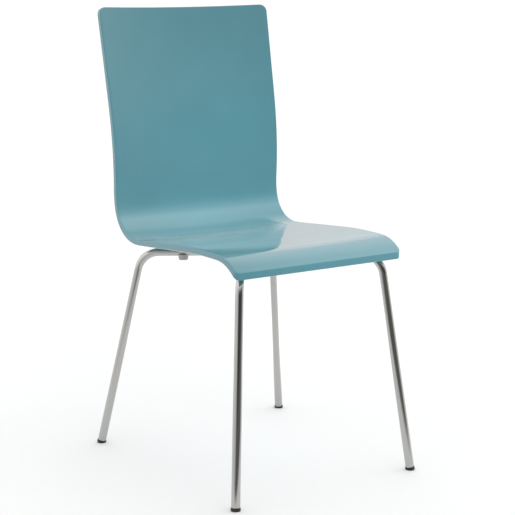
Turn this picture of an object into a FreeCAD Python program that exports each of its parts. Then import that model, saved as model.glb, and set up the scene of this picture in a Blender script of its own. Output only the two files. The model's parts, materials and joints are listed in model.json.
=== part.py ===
import FreeCAD, Part
import math
import os

import Sketcher

# Stacking chair: a one-piece bent plywood shell on a frame of two crossing leg loops.
#
# The frame of the part: +Z is up and z = 0 is the floor. The chair faces -Y, x = 0 is its mirror
# plane, and the origin lies under the middle of its outline. Lengths are in millimetres, angles in
# degrees.
#
# The shell is a band of one thickness that follows a side profile. The profile starts at the front
# lip and turns by four smooth bends: lip, seat, rear and back. Across its width the band is dished.
# The front end is cut upright, and the other edges are square to the surface.
# The seat hangs on four fixings, one on each arm of the frame. A fixing is a stack on one axis,
# square to the underside of the shell: bumper, screw, washer, tube, spacer, insert nut.

SIZES = {
    # shell
    "shell_length": 834.8,
    "shell_thickness": 11.0,
    "shell_front_width": 365.0,
    "shell_top_width": 385.6,
    "shell_waist": 3.5,
    "shell_top_corner": 15.0,
    "shell_lip_corner": 10.0,
    "shell_edge_round": 1.5,
    "lip_y": -231.7,
    "lip_height": 419.5,
    "lip_slope": 36.9,
    "lip_upright_run": 80.0,
    "lip_bend_at": 39.2,
    "lip_bend_run": 74.3,
    "lip_bend_angle": -36.3,
    "seat_bend_at": 138.3,
    "seat_bend_run": 140.0,
    "seat_bend_angle": -5.6,
    "rear_bend_at": 410.0,
    "rear_bend_run": 158.5,
    "rear_bend_angle": 99.4,
    "back_bend_at": 555.0,
    "back_bend_run": 252.4,
    "back_bend_angle": -15.4,
    "seat_dish": 8.0,
    "seat_dish_run": 170.0,
    "back_dish": 17.0,
    "back_dish_start": 400.0,
    # frame
    "tube_diameter": 16.0,
    "tube_wall": 1.5,
    "leg_bend_radius": 45.0,
    "hub_bend_radius": 40.0,
    "frame_height": 402.4,
    "frame_slope": 3.85,
    "front_foot_x": 196.95,
    "front_foot_y": -252.3,
    "front_hub_y": -19.6,
    "front_lean": 8.81,
    "rear_foot_x": 215.4,
    "rear_foot_y": 217.4,
    "rear_hub_y": -3.6,
    "rear_lean": 13.02,
    # centre plate and its welds
    "plate_width": 70.0,
    "plate_length": 86.0,
    "plate_thickness": 4.0,
    "plate_corner": 12.0,
    "plate_y": -13.7,
    "bead_radius": 1.8,
    "bead_angle": 60.0,
    # fixings
    "fixing_x": 94.0,
    "front_fixing_rise": 16.0,
    "front_saddle_tilt": 2.0,
    "rear_fixing_rise": 16.0,
    "rear_saddle_tilt": 2.0,
    "screw_diameter": 6.0,
    "screw_clearance": 0.3,
    "screw_engagement": 7.0,
    "screw_head_diameter": 10.5,
    "screw_head_height": 3.3,
    "screw_head_round": 2.2,
    "thread_play": 0.05,
    "socket_width": 4.0,
    "socket_depth": 2.0,
    "washer_diameter": 12.0,
    "washer_seat": 1.5,
    "saddle_wrap": 3.5,
    "spacer_diameter": 19.0,
    "spacer_round": 0.8,
    "insert_diameter": 10.0,
    "insert_length": 8.0,
    "insert_groove": 0.5,
    "insert_play": 0.2,
    "bumper_top_diameter": 21.5,
    "bumper_foot_diameter": 17.0,
    "bumper_drop": 7.5,
    "bumper_round": 1.5,
    "bumper_play": 0.1,
    # foot glides
    "glide_diameter": 17.8,
    "glide_height": 5.7,
    "glide_below": 1.5,
    "glide_round": 2.2,
    "glide_top_round": 0.8,
    "spigot_length": 18.0,
    "rib_span": 16.0,
    "spigot_tip": 1.5,
    "spigot_rib": 0.5,
}

STATIONS = 40
PATH_STEPS = 1600
FLATTEST = 1e-3  # the least dish, so that every section is an arc
STRAY = 0.1  # the most that an edge through the shell's thickness moves in x
UP = FreeCAD.Vector(0, 0, 1)
ENDS = ("front", "rear")
SIDES = {"left": -1, "right": 1}

doc = FreeCAD.newDocument("StackingChair")
sheet = doc.addObject("Spreadsheet::Sheet", "Sizes")
for row, (alias, value) in enumerate(SIZES.items(), start=1):
    sheet.set(f"A{row}", alias)
    sheet.set(f"B{row}", str(value))
    sheet.setAlias(f"B{row}", alias)
doc.recompute()


def size(alias):
    """The value of a named cell."""
    return float(sheet.get(alias))


def set_size(alias, value):
    """Puts a worked-out length into its named cell."""
    sheet.set(sheet.getCellFromAlias(alias), str(round(value, 4)))
    doc.recompute()


# ---------------------------------------------------------------- helpers


def smooth(fraction):
    """Rises from 0 to 1 with a level start and end."""
    held = min(max(fraction, 0.0), 1.0)
    return held * held * (3 - 2 * held)


def add_feature(label, shape):
    """A sub-part whose shape is made by functions."""
    feature = doc.addObject("Part::Feature", label)
    feature.Label = label
    feature.Shape = shape
    return feature


def add_body(label, placement):
    body = doc.addObject("PartDesign::Body", label)
    body.Label = label
    body.Placement = placement
    return body


def add_sketch(body, name, role):
    """A sketch on one of the body's own origin planes."""
    sketch = body.newObject("Sketcher::SketchObject", f"{body.Name}_{name}")
    plane = next(item for item in body.Origin.OriginFeatures if item.Role == role)
    sketch.AttachmentSupport = [(plane, "")]
    sketch.MapMode = "FlatFace"
    return sketch


def bind(sketch, kind, places, expression):
    """Adds a dimension and ties it to the sheet."""
    index = sketch.addConstraint(Sketcher.Constraint(kind, *places, 1.0))
    sketch.setExpression(f"Constraints[{index}]", expression)


def draw_outline(sketch, corners):
    """A closed outline. Each corner is a pair of expressions, and "0" puts it on an axis."""
    count = len(corners)
    turn = 2 * math.pi / count
    start = [FreeCAD.Vector(math.cos(k * turn), math.sin(k * turn), 0) for k in range(count)]
    first = sketch.GeometryCount
    for k in range(count):
        sketch.addGeometry(Part.LineSegment(start[k], start[(k + 1) % count]))
    for k in range(count):
        following = first + (k + 1) % count
        sketch.addConstraint(Sketcher.Constraint("Coincident", first + k, 2, following, 1))
    for k, (across, along) in enumerate(corners):
        for kind, axis, expression in (("DistanceX", -2, across), ("DistanceY", -1, along)):
            if expression == "0":
                sketch.addConstraint(Sketcher.Constraint("PointOnObject", first + k, 1, axis))
            else:
                bind(sketch, kind, (-1, 1, first + k, 1), expression)


def draw_circle(sketch, radius):
    """A circle about the sketch's origin."""
    circle = sketch.addGeometry(Part.Circle(FreeCAD.Vector(), FreeCAD.Vector(0, 0, 1), 1.0))
    sketch.addConstraint(Sketcher.Constraint("Coincident", circle, 3, -1, 1))
    bind(sketch, "Radius", (circle,), radius)


def revolve(body, corners):
    """Turns an outline about the body's Z axis."""
    sketch = add_sketch(body, "section", "XZ_Plane")
    draw_outline(sketch, corners)
    feature = body.newObject("PartDesign::Revolution", f"{body.Name}_turned")
    feature.Profile = sketch
    feature.ReferenceAxis = (sketch, ["V_Axis"])
    feature.Angle = 360
    doc.recompute()
    return feature


def cut_through(body, sketch, name):
    """Cuts a sketch through the body both ways, and checks that it took something away."""
    before = body.Shape.Volume
    feature = body.newObject("PartDesign::Pocket", f"{body.Name}_{name}")
    feature.Profile = sketch
    feature.Type = "ThroughAll"
    feature.Midplane = True
    doc.recompute()
    if body.Shape.Volume >= before:
        raise RuntimeError(f"{body.Label}: the cut {name} took nothing away")
    return feature


def cut_tube_saddle(body, tilt):
    """Cuts the seat of the tube, which lies along the body's X axis but for a small tilt."""
    sketch = add_sketch(body, "saddle", "YZ_Plane")
    sketch.AttachmentOffset = FreeCAD.Placement(
        FreeCAD.Vector(), FreeCAD.Rotation(FreeCAD.Vector(1, 0, 0), 1)
    )
    sketch.setExpression("AttachmentOffset.Rotation.Angle", f"-{tilt} * 1 deg")
    draw_circle(sketch, "Sizes.tube_diameter / 2")
    return cut_through(body, sketch, "seat")


def round_edges(body, name, radius, wanted):
    """Rounds the edges of the body's tip for which wanted(edge) is true."""
    base = body.Tip
    names = [f"Edge{n}" for n, edge in enumerate(base.Shape.Edges, start=1) if wanted(edge)]
    feature = body.newObject("PartDesign::Fillet", f"{body.Name}_{name}")
    feature.Base = (base, names)
    feature.setExpression("Radius", radius)
    doc.recompute()
    return feature


def circle_at(height, radius):
    """A test for a level circular edge at this height, in the body's own frame."""
    def wanted(edge):
        curve = edge.Curve
        return (
            isinstance(curve, Part.Circle)
            and abs(curve.Center.z - height) < 1e-4
            and abs(curve.Radius - radius) < 1e-4
        )
    return wanted


# ---------------------------------------------------------------- shell


def side_profile():
    """Points of the top and front face at the shell's side edge, as (y, z, slope) by length."""
    step = size("shell_length") / PATH_STEPS
    bends = [(size(f"{b}_bend_at"), size(f"{b}_bend_run"), size(f"{b}_bend_angle"))
             for b in ("lip", "seat", "rear", "back")]

    def slope(length):
        turned = sum(turn * smooth((length - at) / run + 0.5) for at, run, turn in bends)
        return math.radians(size("lip_slope") + turned)

    y, z = size("lip_y"), size("lip_height")
    points = [(y, z, slope(0))]
    for k in range(PATH_STEPS):
        middle = slope((k + 0.5) * step)
        y += step * math.cos(middle)
        z += step * math.sin(middle)
        points.append((y, z, slope((k + 1) * step)))
    return points


def half_width(part):
    """Half the width at this part of the developed length."""
    front, top = size("shell_front_width"), size("shell_top_width")
    return (front + (top - front) * part - size("shell_waist") * part * (1 - part)) / 2


def dish(length):
    """How deep the middle lies below the side edges."""
    seat, back = size("seat_dish"), size("back_dish")
    start = size("back_dish_start")
    rise = smooth((length - start) / (size("shell_length") - start))
    return seat * smooth(length / size("seat_dish_run")) + (back - seat) * rise


def through_thickness(slope, length):
    """Spans unit thickness: upright at the front end, and square to the surface past the lip."""
    lean = slope * smooth(length / size("lip_upright_run"))
    return FreeCAD.Vector(0, -math.sin(lean), math.cos(lean)) / math.cos(slope - lean)


def shell_section(y, z, slope, length):
    """The closed outline of the band at one length."""
    half = half_width(length / size("shell_length"))
    through = through_thickness(slope, length)
    edge = FreeCAD.Vector(0, y, z)
    side = FreeCAD.Vector(half, 0, 0)
    depth = dish(length) + FLATTEST
    upper = (edge - side, edge - through * depth, edge + side)
    lower = tuple(point - through * size("shell_thickness") for point in upper)
    return Part.Wire([
        Part.Arc(*upper).toShape(),
        Part.LineSegment(upper[2], lower[2]).toShape(),
        Part.Arc(*reversed(lower)).toShape(),
        Part.LineSegment(lower[0], upper[0]).toShape(),
    ])


def spans_thickness(edge):
    """True of the short edges between the top face and the underside."""
    first, last = (vertex.Point for vertex in (edge.Vertexes[0], edge.Vertexes[-1]))
    return edge.Length < 2 * size("shell_thickness") and abs(first.x - last.x) < STRAY


def make_shell():
    profile = side_profile()
    sections = []
    for k in range(STATIONS + 1):
        index = round(k * PATH_STEPS / STATIONS)
        y, z, slope = profile[index]
        sections.append(shell_section(y, z, slope, index / PATH_STEPS * size("shell_length")))
    shell = Part.makeLoft(sections, True, False)
    middle = (size("lip_height") + profile[-1][1]) / 2
    for corner, end in (("shell_lip_corner", -1), ("shell_top_corner", 1)):
        edges = [edge for edge in shell.Edges
                 if spans_thickness(edge) and end * (edge.CenterOfMass.z - middle) > 0]
        shell = shell.makeFillet(size(corner), edges)
    return shell


def round_shell(shell):
    """Rounds the long edges, and leaves the short ones at the corners."""
    rim = [edge for edge in shell.Edges if not spans_thickness(edge)]
    return shell.makeFillet(size("shell_edge_round"), rim)


# ---------------------------------------------------------------- frame


def frame_plane(y):
    """Height of the arms' centre lines above the floor."""
    return size("frame_height") - y * math.tan(math.radians(size("frame_slope")))


def frame_normal():
    slope = math.radians(size("frame_slope"))
    return FreeCAD.Vector(0, math.sin(slope), math.cos(slope))


def foot_point(end, side):
    """Where a leg's centre line meets the floor."""
    return FreeCAD.Vector(SIDES[side] * size(f"{end}_foot_x"), size(f"{end}_foot_y"), 0)


def hub_point(end):
    """Where the two arms of a loop would meet."""
    y = size(f"{end}_hub_y")
    return FreeCAD.Vector(0, y, frame_plane(y))


def leg_axes(end, side):
    """The upward direction of a leg, and the outward direction square to it."""
    foot = foot_point(end, side)
    inward = hub_point(end) - foot
    inward.z = 0
    inward.normalize()
    lean = math.radians(size(f"{end}_lean"))
    leg = inward * math.sin(lean) + UP * math.cos(lean)
    outward = UP * math.sin(lean) - inward * math.cos(lean)
    return leg, outward


def knee_point(end, side):
    """Where a leg would meet its arm."""
    foot = foot_point(end, side)
    leg = leg_axes(end, side)[0]
    fall = math.tan(math.radians(size("frame_slope")))
    return foot + leg * (frame_plane(foot.y) / (leg.z + leg.y * fall))


def rounded_path(corners, radii):
    """A wire of straight runs with a tangent arc at each inner corner."""
    edges = []
    start = corners[0]
    for before, corner, after, radius in zip(corners, corners[1:], corners[2:], radii):
        back = (before - corner).normalize()
        ahead = (after - corner).normalize()
        half_angle = back.getAngle(ahead) / 2
        reach = radius / math.tan(half_angle)
        middle = (back + ahead).normalize() * (radius / math.sin(half_angle) - radius)
        arc = (corner + back * reach, corner + middle, corner + ahead * reach)
        edges.append(Part.LineSegment(start, arc[0]).toShape())
        edges.append(Part.Arc(*arc).toShape())
        start = arc[2]
    edges.append(Part.LineSegment(start, corners[-1]).toShape())
    return Part.Wire(edges)


def leg_loop(end):
    """One bent tube: a leg, its arm, the other arm and the other leg."""
    left, right = (
        foot_point(end, side) + leg_axes(end, side)[0] * size("glide_height") for side in SIDES
    )
    corners = [left, knee_point(end, "left"), hub_point(end), knee_point(end, "right"), right]
    radii = [size("leg_bend_radius"), size("hub_bend_radius"), size("leg_bend_radius")]
    path = rounded_path(corners, radii)
    outer = size("tube_diameter") / 2
    axis = leg_axes(end, "left")[0]
    rings = [
        Part.Wire(Part.Circle(left, axis, radius).toShape())
        for radius in (outer, outer - size("tube_wall"))
    ]
    solid, core = (path.makePipe(Part.Face(ring)) for ring in rings)
    return solid.cut(core)


def make_centre_plate():
    """Ties the two loops from below, in the plane of the arms."""
    y = size("plate_y")
    place = FreeCAD.Placement(
        FreeCAD.Vector(0, y, frame_plane(y)),
        FreeCAD.Rotation(FreeCAD.Vector(1, 0, 0), -size("frame_slope")),
    )
    body = add_body("centre_plate", place)
    sketch = add_sketch(body, "outline", "XY_Plane")
    sketch.setExpression(
        "AttachmentOffset.Base.z", "-Sizes.tube_diameter / 2 - Sizes.plate_thickness"
    )
    across, along = "Sizes.plate_width / 2", "Sizes.plate_length / 2"
    draw_outline(sketch, [(across, along), (f"-{across}", along),
                          (f"-{across}", f"-{along}"), (across, f"-{along}")])
    pad = body.newObject("PartDesign::Pad", "centre_plate_pad")
    pad.Profile = sketch
    pad.setExpression("Length", "Sizes.plate_thickness")
    doc.recompute()
    thick = size("plate_thickness")
    round_edges(body, "corners", "Sizes.plate_corner", lambda edge: abs(edge.Length - thick) < 1e-4)
    return body


def make_weld_beads():
    """Two beads along each loop's hub bend. They touch the tube and the plate."""
    beads = []
    for end in ENDS:
        hub = hub_point(end)
        arms = [(knee_point(end, side) - hub).normalize() for side in SIDES]
        inward = (arms[0] + arms[1]).normalize()
        half_angle = arms[0].getAngle(arms[1]) / 2
        centre = hub + inward * (size("hub_bend_radius") / math.sin(half_angle))
        centre += frame_normal() * (size("bead_radius") - size("tube_diameter") / 2)
        turn = FreeCAD.Rotation(frame_normal(), -size("bead_angle") / 2)
        start = turn.multVec(inward * -1)
        for name, sign in (("outer", "+"), ("inner", "-")):
            bead = doc.addObject("Part::Torus", f"{end}_{name}_bead")
            bead.setExpression(
                "Radius1",
                f"Sizes.hub_bend_radius {sign} 2 * sqrt(Sizes.tube_diameter / 2 * Sizes.bead_radius)",
            )
            bead.setExpression("Radius2", "Sizes.bead_radius")
            bead.setExpression("Angle3", "Sizes.bead_angle")
            rotation = FreeCAD.Rotation(start, FreeCAD.Vector(), frame_normal(), "ZXY")
            bead.Placement = FreeCAD.Placement(centre, rotation)
            beads.append(bead)
    group = doc.addObject("Part::Compound", "weld_beads")
    group.Label = "weld_beads"
    group.Links = beads
    return group


# ---------------------------------------------------------------- fixings

# In a fixing's own frame, z runs along the screw from the tube's centre line to the shell, and x
# runs along the arm.
BORE = "Sizes.screw_diameter / 2 + Sizes.screw_clearance"
SHANK = "Sizes.screw_diameter / 2"
WRAP = "(Sizes.tube_diameter / 2 - Sizes.saddle_wrap)"
HEAD_SEAT = "(Sizes.tube_diameter / 2 + Sizes.washer_seat)"
HEAD_END = f"({HEAD_SEAT} + Sizes.screw_head_height)"
BUMPER_FOOT = "(Sizes.tube_diameter / 2 + Sizes.bumper_drop)"


def fixing_place(shell, end, side):
    """A fixing's placement, its distance from tube centre to shell, and the arm's tilt to it."""
    hub, knee = hub_point(end), knee_point(end, side)
    arm = knee - hub
    point = hub + arm * (size("fixing_x") / abs(arm.x))
    rise, nearest, _ = shell.distToShape(Part.Vertex(point))
    axis = (nearest[0][0] - point).normalize()
    rotation = FreeCAD.Rotation(arm.normalize(), FreeCAD.Vector(), axis, "ZXY")
    tilt = math.degrees(math.asin(arm.dot(axis)))
    return FreeCAD.Placement(point, rotation), rise, tilt


def along_screw(place, radius, low, high):
    """A cylinder on a fixing's axis."""
    rod = Part.makeCylinder(radius, high - low, FreeCAD.Vector(0, 0, low))
    rod.Placement = place
    return rod


def make_spacer(label, place, rise, tilt):
    """Holds the shell off the arm."""
    body = add_body(label, place)
    outer = "Sizes.spacer_diameter / 2"
    revolve(body, [(BORE, WRAP), (outer, WRAP), (outer, rise), (BORE, rise)])
    top = size(rise.removeprefix("Sizes."))
    round_edges(body, "top", "Sizes.spacer_round", circle_at(top, size("spacer_diameter") / 2))
    cut_tube_saddle(body, tilt)
    return body


def make_insert(label, place, rise):
    """A grooved nut, pressed into the underside of the shell."""
    body = add_body(label, place)
    outer = "Sizes.insert_diameter / 2"
    inner = "Sizes.screw_diameter / 2 + Sizes.thread_play"
    corners = [(inner, rise)]
    bands = 7
    for k in range(bands):
        radius = f"{outer} - Sizes.insert_groove" if k % 2 else outer
        corners.append((radius, f"{rise} + Sizes.insert_length * {k} / {bands}"))
        corners.append((radius, f"{rise} + Sizes.insert_length * {k + 1} / {bands}"))
    corners.append((inner, f"{rise} + Sizes.insert_length"))
    revolve(body, corners)
    return body


def make_screw(label, place, rise):
    """A button-head screw that runs up through the arm into the insert."""
    body = add_body(label, place)
    head = "Sizes.screw_head_diameter / 2"
    tip = f"{rise} + Sizes.screw_engagement"
    revolve(body, [("0", f"-{HEAD_END}"), (head, f"-{HEAD_END}"), (head, f"-{HEAD_SEAT}"),
                   (SHANK, f"-{HEAD_SEAT}"), (SHANK, tip), ("0", tip)])
    seat = size("tube_diameter") / 2 + size("washer_seat")
    head_end = -seat - size("screw_head_height")
    round_edges(body, "crown", "Sizes.screw_head_round",
                circle_at(head_end, size("screw_head_diameter") / 2))
    socket = add_sketch(body, "socket", "XY_Plane")
    socket.setExpression("AttachmentOffset.Base.z", f"-{HEAD_END}")
    reach = "Sizes.socket_width / 2 / cos(30)"
    draw_outline(socket, [(f"{reach} * cos({angle})", f"{reach} * sin({angle})")
                          for angle in range(15, 375, 60)])
    before = body.Shape.Volume
    pocket = body.newObject("PartDesign::Pocket", f"{label}_hex")
    pocket.Profile = socket
    pocket.Reversed = True
    pocket.setExpression("Length", "Sizes.socket_depth")
    doc.recompute()
    if body.Shape.Volume >= before:
        raise RuntimeError(f"{label}: the socket took nothing away")
    return body


def make_washer(label, place, tilt):
    """Fits the flat screw head to the round tube."""
    body = add_body(label, place)
    outer = "Sizes.washer_diameter / 2"
    revolve(body, [(BORE, f"-{HEAD_SEAT}"), (outer, f"-{HEAD_SEAT}"),
                   (outer, f"-{WRAP}"), (BORE, f"-{WRAP}")])
    cut_tube_saddle(body, tilt)
    return body


def make_bumper(label, place, tilt):
    """A tapered cap over the screw head, which keeps the arm off the chair stacked below."""
    body = add_body(label, place)
    top = "Sizes.bumper_top_diameter / 2"
    foot = "Sizes.bumper_foot_diameter / 2"
    washer = "Sizes.washer_diameter / 2 + Sizes.bumper_play"
    head = "Sizes.screw_head_diameter / 2 + Sizes.bumper_play"
    step = f"-{HEAD_SEAT} - Sizes.bumper_play"
    floor = f"-{HEAD_END} - Sizes.bumper_play"
    revolve(body, [("0", f"-{BUMPER_FOOT}"), (foot, f"-{BUMPER_FOOT}"), (top, f"-{WRAP}"),
                   (washer, f"-{WRAP}"), (washer, step), (head, step), (head, floor), ("0", floor)])
    foot_height = -size("tube_diameter") / 2 - size("bumper_drop")
    round_edges(body, "foot", "Sizes.bumper_round",
                circle_at(foot_height, size("bumper_foot_diameter") / 2))
    cut_tube_saddle(body, tilt)
    return body


# ---------------------------------------------------------------- feet


def make_glide(label, end, side):
    """A plastic foot whose ribbed spigot sits in the tube. The floor plane cuts its underside."""
    leg, outward = leg_axes(end, side)
    rotation = FreeCAD.Rotation(outward, FreeCAD.Vector(), leg, "ZXY")
    body = add_body(label, FreeCAD.Placement(foot_point(end, side), rotation))
    flange = "Sizes.glide_diameter / 2"
    rib = "Sizes.tube_diameter / 2 - Sizes.tube_wall"
    spigot = f"{rib} - Sizes.spigot_rib"
    tip = "Sizes.glide_height + Sizes.spigot_length"
    corners = [("0", "-Sizes.glide_below"), (flange, "-Sizes.glide_below"),
               (flange, "Sizes.glide_height")]
    bands = 7
    for k in range(bands):
        radius = rib if k % 2 else spigot
        corners.append((radius, f"Sizes.glide_height + Sizes.rib_span * {k} / {bands}"))
        corners.append((radius, f"Sizes.glide_height + Sizes.rib_span * {k + 1} / {bands}"))
    corners += [(f"{spigot} - Sizes.spigot_tip", tip), ("0", tip)]
    revolve(body, corners)
    radius = size("glide_diameter") / 2
    round_edges(body, "foot", "Sizes.glide_round", circle_at(-size("glide_below"), radius))
    round_edges(body, "rim", "Sizes.glide_top_round", circle_at(size("glide_height"), radius))
    sketch = add_sketch(body, "floor", "XZ_Plane")
    reach = "Sizes.glide_diameter"
    fall = f"{reach} * tan(Sizes.{end}_lean)"
    draw_outline(sketch, [(f"-{reach}", fall), (f"-{reach}", f"-{reach}"),
                          (reach, f"-{reach}"), (reach, f"-{fall}")])
    cut_through(body, sketch, "flat")
    return body


# ---------------------------------------------------------------- chair


def build_chair():
    """Makes every sub-part, and returns them."""
    shell = round_shell(make_shell())
    places = {}
    for end in ENDS:
        for side in SIDES:
            places[end, side], rise, tilt = fixing_place(shell, end, side)
        set_size(f"{end}_fixing_rise", rise)
        set_size(f"{end}_saddle_tilt", tilt)

    loops = {end: leg_loop(end) for end in ENDS}
    hole = size("screw_diameter") / 2 + size("screw_clearance")
    for (end, side), place in places.items():
        rise = size(f"{end}_fixing_rise")
        socket_top = rise + size("insert_length") + size("insert_play")
        socket = along_screw(place, size("insert_diameter") / 2, rise / 2, socket_top)
        shell = shell.cut(socket)
        tube = size("tube_diameter")
        loops[end] = loops[end].cut(along_screw(place, hole, -tube, tube))

    parts = [add_feature("seat_shell", shell)]
    parts += [add_feature(f"{end}_leg_loop", loops[end]) for end in ENDS]
    parts += [make_centre_plate(), make_weld_beads()]
    for (end, side), place in places.items():
        where = f"{end}_{side}"
        rise = f"Sizes.{end}_fixing_rise"
        tilt = f"Sizes.{end}_saddle_tilt"
        parts.append(make_spacer(f"seat_spacer_{where}", place, rise, tilt))
        parts.append(make_insert(f"insert_nut_{where}", place, rise))
        parts.append(make_screw(f"seat_screw_{where}", place, rise))
        parts.append(make_washer(f"saddle_washer_{where}", place, tilt))
        parts.append(make_bumper(f"stack_bumper_{where}", place, tilt))
        parts.append(make_glide(f"foot_glide_{where}", end, side))
    doc.recompute()
    return parts


def check_document(parts):
    """Stops if any object failed, or if a sub-part has no sound shape."""
    for item in doc.Objects:
        if {"Invalid", "Error"} & set(item.State):
            raise RuntimeError(f"{item.Label} failed: {item.State}")
    for part in parts:
        if part.Shape.isNull() or not part.Shape.isValid():
            raise RuntimeError(f"{part.Label} has no valid shape")


def main():
    parts = build_chair()
    check_document(parts)
    os.makedirs("parts", exist_ok=True)
    for part in parts:
        part.Shape.exportStep(f"parts/{part.Label}.step")
    print(f"{len(parts)} sub-parts written")


main()
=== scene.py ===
import json
import math

import bpy
import numpy as np
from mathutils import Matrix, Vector


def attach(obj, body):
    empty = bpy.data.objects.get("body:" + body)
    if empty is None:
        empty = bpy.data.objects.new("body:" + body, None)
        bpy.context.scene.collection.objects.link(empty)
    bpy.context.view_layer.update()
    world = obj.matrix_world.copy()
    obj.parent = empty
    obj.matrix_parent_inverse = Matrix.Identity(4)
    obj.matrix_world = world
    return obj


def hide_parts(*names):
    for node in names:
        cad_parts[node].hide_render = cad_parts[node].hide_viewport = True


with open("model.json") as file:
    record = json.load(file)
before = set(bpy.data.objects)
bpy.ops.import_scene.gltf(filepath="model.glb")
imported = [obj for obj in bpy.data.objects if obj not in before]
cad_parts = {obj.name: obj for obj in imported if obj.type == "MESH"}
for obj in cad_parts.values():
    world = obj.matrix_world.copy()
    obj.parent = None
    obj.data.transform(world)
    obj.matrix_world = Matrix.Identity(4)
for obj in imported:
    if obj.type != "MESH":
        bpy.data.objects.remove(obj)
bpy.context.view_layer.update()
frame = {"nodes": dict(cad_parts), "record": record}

# A stacking chair: a bent plywood shell in teal lacquer on a chromed tube frame.
# Lengths are in metres and angles in degrees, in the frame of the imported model.

# ---------------------------------------------------------------- the shell's own sizes

SHELL_LENGTH = 0.8348
SHELL_THICKNESS = 0.011
SHELL_FRONT_WIDTH = 0.365
SHELL_TOP_WIDTH = 0.3856
SHELL_WAIST = 0.0035
TOP_CORNER = 0.015
LIP_CORNER = 0.010
EDGE_ROUND = 0.0015
LIP_START = (-0.2317, 0.4195)
LIP_SLOPE = 36.9
# where along the length a bend has its middle, how long it runs, how far it turns
BENDS = (
    (0.0392, 0.0743, -36.3),
    (0.1383, 0.1400, -5.6),
    (0.4100, 0.1585, 99.4),
    (0.5550, 0.2524, -15.4),
)
# the front end is cut upright, and this far along the thickness is square to the surface
UPRIGHT_RUN = 0.080
SEAT_DISH = 0.008
SEAT_DISH_RUN = 0.170
BACK_DISH = 0.017
BACK_DISH_START = 0.400

# points in the shell's mesh: across, along between the corners, and round each corner
ACROSS_POINTS = 97
ALONG_POINTS = 250
LIP_CORNER_POINTS = 10
TOP_CORNER_POINTS = 12

# ---------------------------------------------------------------- the view

VIEW_TARGET = Vector((0.0487, 0.0488, 0.3766))
VIEW_DISTANCE = 2.9
VIEW_AZIMUTH = -33.533
VIEW_ELEVATION = 11.201
LENS = 103.28
SENSOR = 36.0

# ---------------------------------------------------------------- the light

# bearings of the studio's open dark side from the camera's own, to the camera's right:
# middle, angle that is full, angle where it ends, share of the light that it takes.
# The dark side shows only in reflections.
DARK_BEARINGS = ((28.0, 30.0, 68.0, 0.91), (-8.0, 5.0, 85.0, 0.35))
# elevations over which the dark side gives way to the sky
DARK_TOP = (8.0, 50.0)
# distances from the chair over which the paper takes a painted shade in reflections, and the painted
# shade's colour there
PAINTED_SHADE_REACH = (0.35, 1.1)
PAINTED_FLOOR_SHADE = (0.060, 0.053, 0.047)
# how pale the paper is painted in reflections, a painted shade greyer than it looks, and its painted
# glow there behind the chair
PAINTED_PAPER_SHADE = 0.78
SWEEP_GLOW = 1.0
SWEEP_GLOW_REACH = (0.3, 0.75)
# how far round from straight behind the chair the glow is full, and where it ends
SWEEP_GLOW_ANGLES = (30.0, 58.0)
SIDE_LIGHT = 1.15
# patches of the sky: bearing to the camera's right, elevation, angle that is full, angle
# where it ends, and gain, which is below zero where the sky is darker
SKY_PATCHES = (
    (92.0, 54.0, 8.0, 24.0, 0.22),
    (146.0, 46.0, 30.0, 64.0, 0.5),
    (0.0, 90.0, 20.0, 48.0, -0.8),
)
# the same for shaded patches behind and beside the chair that only reflections show
REFLECTED_SHADES = (
    (180.0, 4.0, 25.0, 60.0, -0.66),
    (122.0, 14.0, 14.0, 38.0, -0.60),
)
FILL_AZIMUTH = -10.0
FILL_ELEVATION = 15.0
FILL_SPREAD = 50.0
FILL_STRENGTH = 0.55
SPOT_PLACE = (0.25, -1.8, 2.1)
SPOT_TARGET = (0.03, 0.08, 0.44)
SPOT_CONE = 12.0
SPOT_POWER = 310.0
SPOT_RADIUS = 0.25


def cosine(angle):
    return math.cos(math.radians(angle))


def sine(angle):
    return math.sin(math.radians(angle))


def bearing_vector(offset):
    """The level direction at an angle to the camera's right of the line to the camera."""
    return (sine(VIEW_AZIMUTH + offset), -cosine(VIEW_AZIMUTH + offset), 0.0)


def smooth(fraction):
    held = np.clip(fraction, 0.0, 1.0)
    return held * held * (3 - 2 * held)


def sky_vector(offset, elevation):
    level = Vector(bearing_vector(offset)) * cosine(elevation)
    return (level.x, level.y, sine(elevation))


# ---------------------------------------------------------------- shell mesh


class Shell:
    """The shell's surface, by length along the side profile, place across, and depth below."""

    STEPS = 3200

    def __init__(self):
        self.length = np.linspace(0, SHELL_LENGTH, self.STEPS + 1)
        slope = LIP_SLOPE + sum(
            turn * smooth((self.length - at) / run + 0.5) for at, run, turn in BENDS
        )
        slope = np.radians(slope)
        middle = (slope[1:] + slope[:-1]) / 2
        step = SHELL_LENGTH / self.STEPS
        self.y = LIP_START[0] + np.concatenate(([0], np.cumsum(np.cos(middle) * step)))
        self.z = LIP_START[1] + np.concatenate(([0], np.cumsum(np.sin(middle) * step)))
        self.slope = slope

    def half_width(self, length):
        part = length / SHELL_LENGTH
        spread = (SHELL_TOP_WIDTH - SHELL_FRONT_WIDTH) * part
        return (SHELL_FRONT_WIDTH + spread - SHELL_WAIST * part * (1 - part)) / 2

    def dish(self, length):
        rise = smooth((length - BACK_DISH_START) / (SHELL_LENGTH - BACK_DISH_START))
        return SEAT_DISH * smooth(length / SEAT_DISH_RUN) + (BACK_DISH - SEAT_DISH) * rise

    def point(self, across, length, depth):
        """Points in space for arrays of the three coordinates."""
        y = np.interp(length, self.length, self.y)
        z = np.interp(length, self.length, self.z)
        slope = np.interp(length, self.length, self.slope)
        lean = slope * smooth(length / UPRIGHT_RUN)
        share = across / self.half_width(length)
        drop = (depth + self.dish(length) * (1 - share * share)) / np.cos(slope - lean)
        return np.stack([across, y + drop * np.sin(lean), z - drop * np.cos(lean)], axis=-1)


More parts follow.
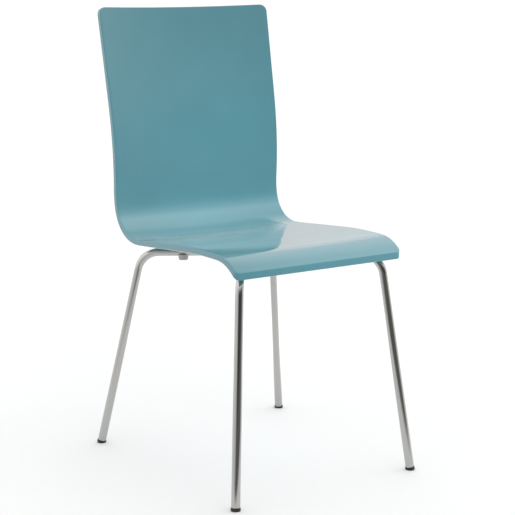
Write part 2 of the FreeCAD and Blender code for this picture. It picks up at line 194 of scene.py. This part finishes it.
def corner_rows(radius, count):
    """Distances from an end, and how far the outline is drawn in there, round one corner."""
    angle = np.linspace(0, math.pi / 2, count)
    return radius * (1 - np.cos(angle)), radius * (1 - np.sin(angle))


def shell_outline(shell):
    """Rows of the shell's flat face: their lengths and half widths."""
    start, end = EDGE_ROUND, SHELL_LENGTH - EDGE_ROUND
    lip_in, lip_cut = corner_rows(LIP_CORNER - EDGE_ROUND, LIP_CORNER_POINTS)
    top_in, top_cut = corner_rows(TOP_CORNER - EDGE_ROUND, TOP_CORNER_POINTS)
    between = np.linspace(start + lip_in[-1], end - top_in[-1], ALONG_POINTS)[1:-1]
    lengths = np.concatenate([start + lip_in, between, end - top_in[::-1]])
    cuts = np.concatenate([lip_cut, np.zeros(len(between)), top_cut[::-1]])
    return lengths, shell.half_width(lengths) - EDGE_ROUND - cuts


def rim_profile():
    """Steps round the shell's edge, from the top face to the underside: outward and depth."""
    turn = np.linspace(0, math.pi / 2, 6)[1:]
    out = EDGE_ROUND * np.sin(turn)
    down = EDGE_ROUND * (1 - np.cos(turn))
    walls = np.linspace(EDGE_ROUND, SHELL_THICKNESS - EDGE_ROUND, 5)[1:-1]
    outward = np.concatenate([out, np.full(len(walls), EDGE_ROUND), out[::-1]])
    depth = np.concatenate([down, walls, SHELL_THICKNESS - down[::-1]])
    return list(zip(outward, depth))


def loop_indices(rows, columns):
    """The grid's border, walked once round."""
    near = [(0, c) for c in range(columns)]
    right = [(r, columns - 1) for r in range(1, rows)]
    far = [(rows - 1, c) for c in range(columns - 2, -1, -1)]
    left = [(r, 0) for r in range(rows - 2, 0, -1)]
    return np.array([r * columns + c for r, c in near + right + far + left])


def make_shell_mesh():
    shell = Shell()
    lengths, halves = shell_outline(shell)
    columns = ACROSS_POINTS
    rows = len(lengths)
    share = np.linspace(-1, 1, columns)
    across = (halves[:, None] * share[None, :]).ravel()
    along = np.repeat(lengths, columns)
    border = loop_indices(rows, columns)

    ring = np.stack([across[border], along[border]], axis=-1)
    tangent = np.roll(ring, -1, axis=0) - np.roll(ring, 1, axis=0)
    outward = np.stack([tangent[:, 1], -tangent[:, 0]], axis=-1)
    outward /= np.linalg.norm(outward, axis=1)[:, None]

    flat = [np.stack([across, along], axis=-1)]
    depths = [np.zeros(len(across))]
    rings = [border]
    start = len(across)
    for out, depth in rim_profile()[:-1]:
        flat.append(ring + outward * out)
        depths.append(np.full(len(border), depth))
        rings.append(np.arange(start, start + len(border)))
        start += len(border)
    flat.append(flat[0])
    depths.append(np.full(len(across), SHELL_THICKNESS))
    rings.append(border + start)

    flat = np.concatenate(flat)
    depths = np.concatenate(depths)
    points = shell.point(flat[:, 0], flat[:, 1], depths)

    corner = (np.arange(rows - 1)[:, None] * columns + np.arange(columns - 1)[None, :]).ravel()
    quads = np.stack([corner, corner + 1, corner + columns + 1, corner + columns], axis=-1)
    faces = [quads, quads[:, ::-1] + start]
    for upper, lower in zip(rings, rings[1:]):
        faces.append(np.stack([upper, lower, np.roll(lower, -1), np.roll(upper, -1)], axis=-1))
    faces = np.concatenate(faces)

    mesh = bpy.data.meshes.new("seat_shell_lacquered")
    mesh.from_pydata(points.tolist(), [], faces.tolist())
    mesh.validate()
    developed = mesh.uv_layers.new(name="developed")
    uv = flat[np.array([loop.vertex_index for loop in mesh.loops])]
    developed.data.foreach_set("uv", uv.ravel())
    mesh.shade_smooth()
    mesh.update()
    return mesh


# ---------------------------------------------------------------- materials


class Nodes:
    """A short way to build a material's node tree."""

    def __init__(self, name):
        self.material = bpy.data.materials.new(name)
        self.material.use_nodes = True
        self.tree = self.material.node_tree
        self.shader = self.tree.nodes["Principled BSDF"]

    @classmethod
    def around(cls, tree):
        """The same helpers for a node tree that exists."""
        nodes = cls.__new__(cls)
        nodes.tree = tree
        return nodes

    def add(self, kind, **values):
        node = self.tree.nodes.new(kind)
        for key, value in values.items():
            setattr(node, key, value)
        return node

    def link(self, source, target):
        self.tree.links.new(source, target)

    def place(self, coordinate="Object", scale=(1, 1, 1)):
        """Coordinates fixed to the piece, stretched by a scale."""
        source = self.add("ShaderNodeTexCoord")
        mapping = self.add("ShaderNodeMapping")
        mapping.inputs["Scale"].default_value = scale
        self.link(source.outputs[coordinate], mapping.inputs["Vector"])
        return mapping.outputs["Vector"]

    def noise(self, where, scale, detail=3.0, roughness=0.5):
        node = self.add("ShaderNodeTexNoise")
        node.inputs["Scale"].default_value = scale
        node.inputs["Detail"].default_value = detail
        node.inputs["Roughness"].default_value = roughness
        self.link(where, node.inputs["Vector"])
        return node.outputs["Fac"]

    def spread(self, source, low, high, start=0.3, stop=0.7):
        """Maps a noise's middle range to a range of values."""
        node = self.add("ShaderNodeMapRange")
        node.inputs["From Min"].default_value = start
        node.inputs["From Max"].default_value = stop
        node.inputs["To Min"].default_value = low
        node.inputs["To Max"].default_value = high
        self.link(source, node.inputs["Value"])
        return node.outputs["Result"]

    def blend(self, factor, first, second):
        """A colour between two, by a factor."""
        node = self.add("ShaderNodeMix", data_type="RGBA")
        node.inputs["A"].default_value = (*first, 1)
        node.inputs["B"].default_value = (*second, 1)
        self.link(factor, node.inputs["Factor"])
        return node.outputs["Result"]

    def bump(self, height, strength, distance, under=None):
        node = self.add("ShaderNodeBump")
        node.inputs["Strength"].default_value = strength
        node.inputs["Distance"].default_value = distance
        self.link(height, node.inputs["Height"])
        if under is not None:
            self.link(under, node.inputs["Normal"])
        return node.outputs["Normal"]

    def math(self, operation, first, second):
        """One sum of sockets or plain numbers."""
        node = self.add("ShaderNodeMath", operation=operation)
        for socket, value in zip(node.inputs, (first, second)):
            if isinstance(value, (int, float)):
                socket.default_value = value
            else:
                self.link(value, socket)
        return node.outputs[0]

    def ramp(self, source, start, stop, low=0.0, high=1.0):
        """A smooth step from low to high as the source goes from start to stop."""
        node = self.add("ShaderNodeMapRange", interpolation_type="SMOOTHSTEP")
        for name, value in zip(("From Min", "From Max", "To Min", "To Max"), (start, stop, low, high)):
            node.inputs[name].default_value = value
        self.link(source, node.inputs["Value"])
        return node.outputs["Result"]

    def toward(self, where, direction):
        """How far a point or direction lies along a given one."""
        node = self.add("ShaderNodeVectorMath", operation="DOT_PRODUCT")
        self.link(where, node.inputs[0])
        node.inputs[1].default_value = direction
        return node.outputs["Value"]

    def level(self, where):
        """The level part of a direction, at length one."""
        flat = self.add("ShaderNodeVectorMath", operation="MULTIPLY")
        self.link(where, flat.inputs[0])
        flat.inputs[1].default_value = (1, 1, 0)
        unit = self.add("ShaderNodeVectorMath", operation="NORMALIZE")
        self.link(flat.outputs["Vector"], unit.inputs[0])
        return unit.outputs["Vector"]

    def distance(self, where):
        """How far a place is from the middle of the floor."""
        node = self.add("ShaderNodeVectorMath", operation="LENGTH")
        self.link(where, node.inputs[0])
        return node.outputs["Value"]

    def open_front(self, where):
        """One where the studio is open and dark, by bearing from the chair. It shapes the world's dark
        side and the painted shade on the paper.
        """
        bearing = self.level(where)
        total = None
        for azimuth, inner, outer, share in DARK_BEARINGS:
            lobe = self.toward(bearing, bearing_vector(azimuth))
            part = self.ramp(lobe, cosine(outer), cosine(inner), 1.0, 1.0 - share)
            total = part if total is None else self.math("MULTIPLY", total, part)
        return self.math("SUBTRACT", 1.0, total)

    def paper_with_painted_shade(self, where):
        """Painted shade: the paper's colour as the chair reflects it, greyer than it looks and dark
        towards the open front.
        """
        reach = self.ramp(self.distance(where), *PAINTED_SHADE_REACH)
        # painted shade: the paper darkens away from the chair towards the open front
        dark = self.math("MULTIPLY", reach, self.open_front(where))
        return self.blend(dark, (PAINTED_PAPER_SHADE,) * 3, PAINTED_FLOOR_SHADE)

    def set(self, **values):
        """Sets the shader's own sockets. Underscores stand for spaces."""
        for key, value in values.items():
            self.shader.inputs[key.replace("_", " ")].default_value = value


def lacquer():
    """Teal lacquer over veneer: faint grain, orange peel and handling haze."""
    n = Nodes("teal_lacquer")
    n.set(IOR=1.5, Specular_IOR_Level=0.5)
    n.set(Coat_Weight=1.0, Coat_Roughness=0.06, Coat_IOR=1.5)
    n.set(Sheen_Weight=0.05, Sheen_Roughness=0.6)
    sheet = n.place("UV", (1, 1, 1))
    grain_place = n.place("UV", (900, 14, 1))
    cloud = n.noise(sheet, 9.0, 2.0)
    grain = n.noise(grain_place, 1.0, 4.0, 0.6)
    tint = n.blend(n.spread(cloud, 0.0, 1.0), (0.069, 0.210, 0.249), (0.073, 0.220, 0.260))
    n.link(tint, n.shader.inputs["Base Color"])
    haze = n.noise(sheet, 22.0, 5.0, 0.65)
    n.link(n.spread(haze, 0.10, 0.16), n.shader.inputs["Roughness"])
    peel = n.noise(n.place("Object"), 420.0, 2.0)
    veneer = n.bump(grain, 0.05, 0.0002)
    skin = n.bump(peel, 0.04, 0.0002, veneer)
    n.link(skin, n.shader.inputs["Normal"])
    n.link(skin, n.shader.inputs["Coat Normal"])
    return n.material


def chrome():
    """Bright plate over polished tube: light smears and fine rubbed lines."""
    n = Nodes("bright_chrome")
    n.set(Metallic=1.0)
    where = n.place("Object")
    smear = n.noise(where, 38.0, 4.0, 0.6)
    n.link(n.spread(smear, 0.05, 0.11), n.shader.inputs["Roughness"])
    tone = n.blend(n.noise(where, 12.0, 2.0), (0.53, 0.525, 0.51), (0.59, 0.585, 0.57))
    n.link(tone, n.shader.inputs["Base Color"])
    lines = n.noise(n.place("Object", (1, 1, 0.05)), 900.0, 2.0)
    n.link(n.bump(lines, 0.02, 0.0001), n.shader.inputs["Normal"])
    return n.material


def zinc():
    """Dull zinc plate with a faint mottle."""
    n = Nodes("zinc_plate")
    n.set(Metallic=1.0)
    where = n.place("Object")
    mottle = n.noise(where, 300.0, 4.0, 0.6)
    n.link(n.spread(mottle, 0.28, 0.42), n.shader.inputs["Roughness"])
    n.link(n.blend(mottle, (0.50, 0.50, 0.47), (0.62, 0.61, 0.58)), n.shader.inputs["Base Color"])
    n.link(n.bump(mottle, 0.1, 0.0002), n.shader.inputs["Normal"])
    return n.material


def plastic(name, dark, light, roughness):
    """Moulded plastic with a fine spark texture."""
    n = Nodes(name)
    where = n.place("Object")
    cloud = n.noise(where, 90.0, 4.0, 0.6)
    n.link(n.blend(n.spread(cloud, 0.0, 1.0), dark, light), n.shader.inputs["Base Color"])
    n.link(n.spread(cloud, roughness - 0.06, roughness + 0.08), n.shader.inputs["Roughness"])
    spark = n.noise(where, 2600.0, 2.0)
    n.link(n.bump(spark, 0.15, 0.0001), n.shader.inputs["Normal"])
    return n.material


def backdrop():
    """Pale studio paper. For reflections only it carries painted shade, greyer and dark towards
    the open front, and a painted glow behind the chair."""
    n = Nodes("studio_paper")
    where = n.place("Object")
    fibre = n.noise(where, 60.0, 3.0)
    paper = n.blend(fibre, (0.92, 0.92, 0.92), (0.94, 0.94, 0.94))
    # reflections see the paper with painted shade in place of its own colour
    glossy = n.add("ShaderNodeLightPath").outputs["Is Glossy Ray"]
    seen = n.add("ShaderNodeMix", data_type="RGBA")
    n.link(paper, seen.inputs["A"])
    n.link(n.paper_with_painted_shade(where), seen.inputs["B"])
    n.link(glossy, seen.inputs["Factor"])
    n.link(seen.outputs["Result"], n.shader.inputs["Base Color"])
    # painted glow: the paper emits light behind the chair, for reflections only
    inner, outer = SWEEP_GLOW_ANGLES
    aim = n.toward(n.level(where), bearing_vector(180))
    behind = n.ramp(aim, cosine(outer), cosine(inner), 0.0, SWEEP_GLOW)
    far = n.ramp(n.distance(where), *SWEEP_GLOW_REACH)
    glow = n.math("MULTIPLY", n.math("MULTIPLY", behind, far), glossy)
    n.link(glow, n.shader.inputs["Emission Strength"])
    n.set(Roughness=0.9, Specular_IOR_Level=0.1)
    return n.material


def assign(piece, material):
    piece.data.materials.clear()
    piece.data.materials.append(material)


# ---------------------------------------------------------------- studio


def make_floor(material):
    mesh = bpy.data.meshes.new("studio_floor")
    reach = 60.0
    corners = [(-reach, -reach, 0), (reach, -reach, 0), (reach, reach, 0), (-reach, reach, 0)]
    mesh.from_pydata(corners, [], [(0, 1, 2, 3)])
    floor = bpy.data.objects.new("studio_floor", mesh)
    bpy.context.scene.collection.objects.link(floor)
    assign(floor, material)


def make_world():
    """Light all round, stronger high up behind and at the side, and weaker overhead."""
    world = bpy.data.worlds.new("studio")
    bpy.context.scene.world = world
    world.use_nodes = True
    n = Nodes.around(world.node_tree)
    source = n.add("ShaderNodeTexCoord").outputs["Generated"]
    height = n.toward(source, (0, 0, 1))
    glossy = n.add("ShaderNodeLightPath").outputs["Is Glossy Ray"]

    def patch(azimuth, elevation, inner, outer, gain):
        aim = n.toward(source, sky_vector(azimuth, elevation))
        return n.ramp(aim, cosine(outer), cosine(inner), 0.0, gain)

    light = SIDE_LIGHT
    for place in SKY_PATCHES:
        light = n.math("ADD", patch(*place), light)
    for shade in REFLECTED_SHADES:
        light = n.math("ADD", n.math("MULTIPLY", patch(*shade), glossy), light)
    low = n.ramp(height, sine(DARK_TOP[0]), sine(DARK_TOP[1]), 1.0, 0.0)
    dark = n.math("MULTIPLY", n.math("MULTIPLY", low, n.open_front(source)), glossy)
    strength = n.math("MULTIPLY", light, n.math("SUBTRACT", 1.0, dark))
    background = world.node_tree.nodes["Background"]
    background.inputs["Color"].default_value = (1, 1, 1, 1)
    n.link(strength, background.inputs["Strength"])


def make_fill():
    """A broad soft light from the front that leaves no highlight of its own."""
    light = bpy.data.lights.new("front_fill", "SUN")
    light.angle = math.radians(FILL_SPREAD)
    light.energy = FILL_STRENGTH
    lamp = bpy.data.objects.new("front_fill", light)
    bpy.context.scene.collection.objects.link(lamp)
    level = cosine(FILL_ELEVATION)
    source = Vector((
        sine(FILL_AZIMUTH) * level, -cosine(FILL_AZIMUTH) * level, sine(FILL_ELEVATION)
    ))
    lamp.rotation_euler = (-source).to_track_quat("-Z", "Y").to_euler()
    lamp.visible_glossy = False


def make_spot(lit):
    """A soft pool of light on the bend at the foot of the backrest, kept off the floor."""
    light = bpy.data.lights.new("low_spot", "SPOT")
    light.spot_size = math.radians(SPOT_CONE)
    light.spot_blend = 1.0
    light.shadow_soft_size = SPOT_RADIUS
    light.energy = SPOT_POWER
    lamp = bpy.data.objects.new("low_spot", light)
    bpy.context.scene.collection.objects.link(lamp)
    lamp.location = SPOT_PLACE
    lamp.rotation_euler = (Vector(SPOT_TARGET) - lamp.location).to_track_quat("-Z", "Y").to_euler()
    lamp.visible_glossy = False
    reached = bpy.data.collections.new("lit_by_low_spot")
    reached.objects.link(lit)
    lamp.light_linking.receiver_collection = reached


def make_camera():
    azimuth, elevation = math.radians(VIEW_AZIMUTH), math.radians(VIEW_ELEVATION)
    back = Vector((
        math.sin(azimuth) * math.cos(elevation),
        -math.cos(azimuth) * math.cos(elevation),
        math.sin(elevation),
    ))
    data = bpy.data.cameras.new("view")
    data.lens = LENS
    data.sensor_width = SENSOR
    camera = bpy.data.objects.new("view", data)
    bpy.context.scene.collection.objects.link(camera)
    camera.location = VIEW_TARGET + back * VIEW_DISTANCE
    camera.rotation_euler = (-back).to_track_quat("-Z", "Y").to_euler()
    bpy.context.scene.camera = camera


# ---------------------------------------------------------------- chair

finishes = {
    "lacquer": lacquer(),
    "chrome": chrome(),
    "zinc_steel": zinc(),
    "grey_plastic": plastic("grey_plastic", (0.34, 0.315, 0.29), (0.39, 0.365, 0.335), 0.28),
    "black_plastic": plastic("black_plastic", (0.010, 0.009, 0.009), (0.016, 0.015, 0.014), 0.38),
}

shell_piece = bpy.data.objects.new("seat_shell_lacquered", make_shell_mesh())
bpy.context.scene.collection.objects.link(shell_piece)
assign(shell_piece, finishes["lacquer"])
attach(shell_piece, "root")
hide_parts("seat_shell")

slots = {item["node"]: item["material_slot"] for item in frame["record"]["subparts"]}
for node, piece in frame["nodes"].items():
    assign(piece, finishes[slots[node]])

make_floor(backdrop())
make_world()
make_fill()
make_spot(shell_piece)
make_camera()
bpy.context.scene.view_settings.view_transform = "Standard"
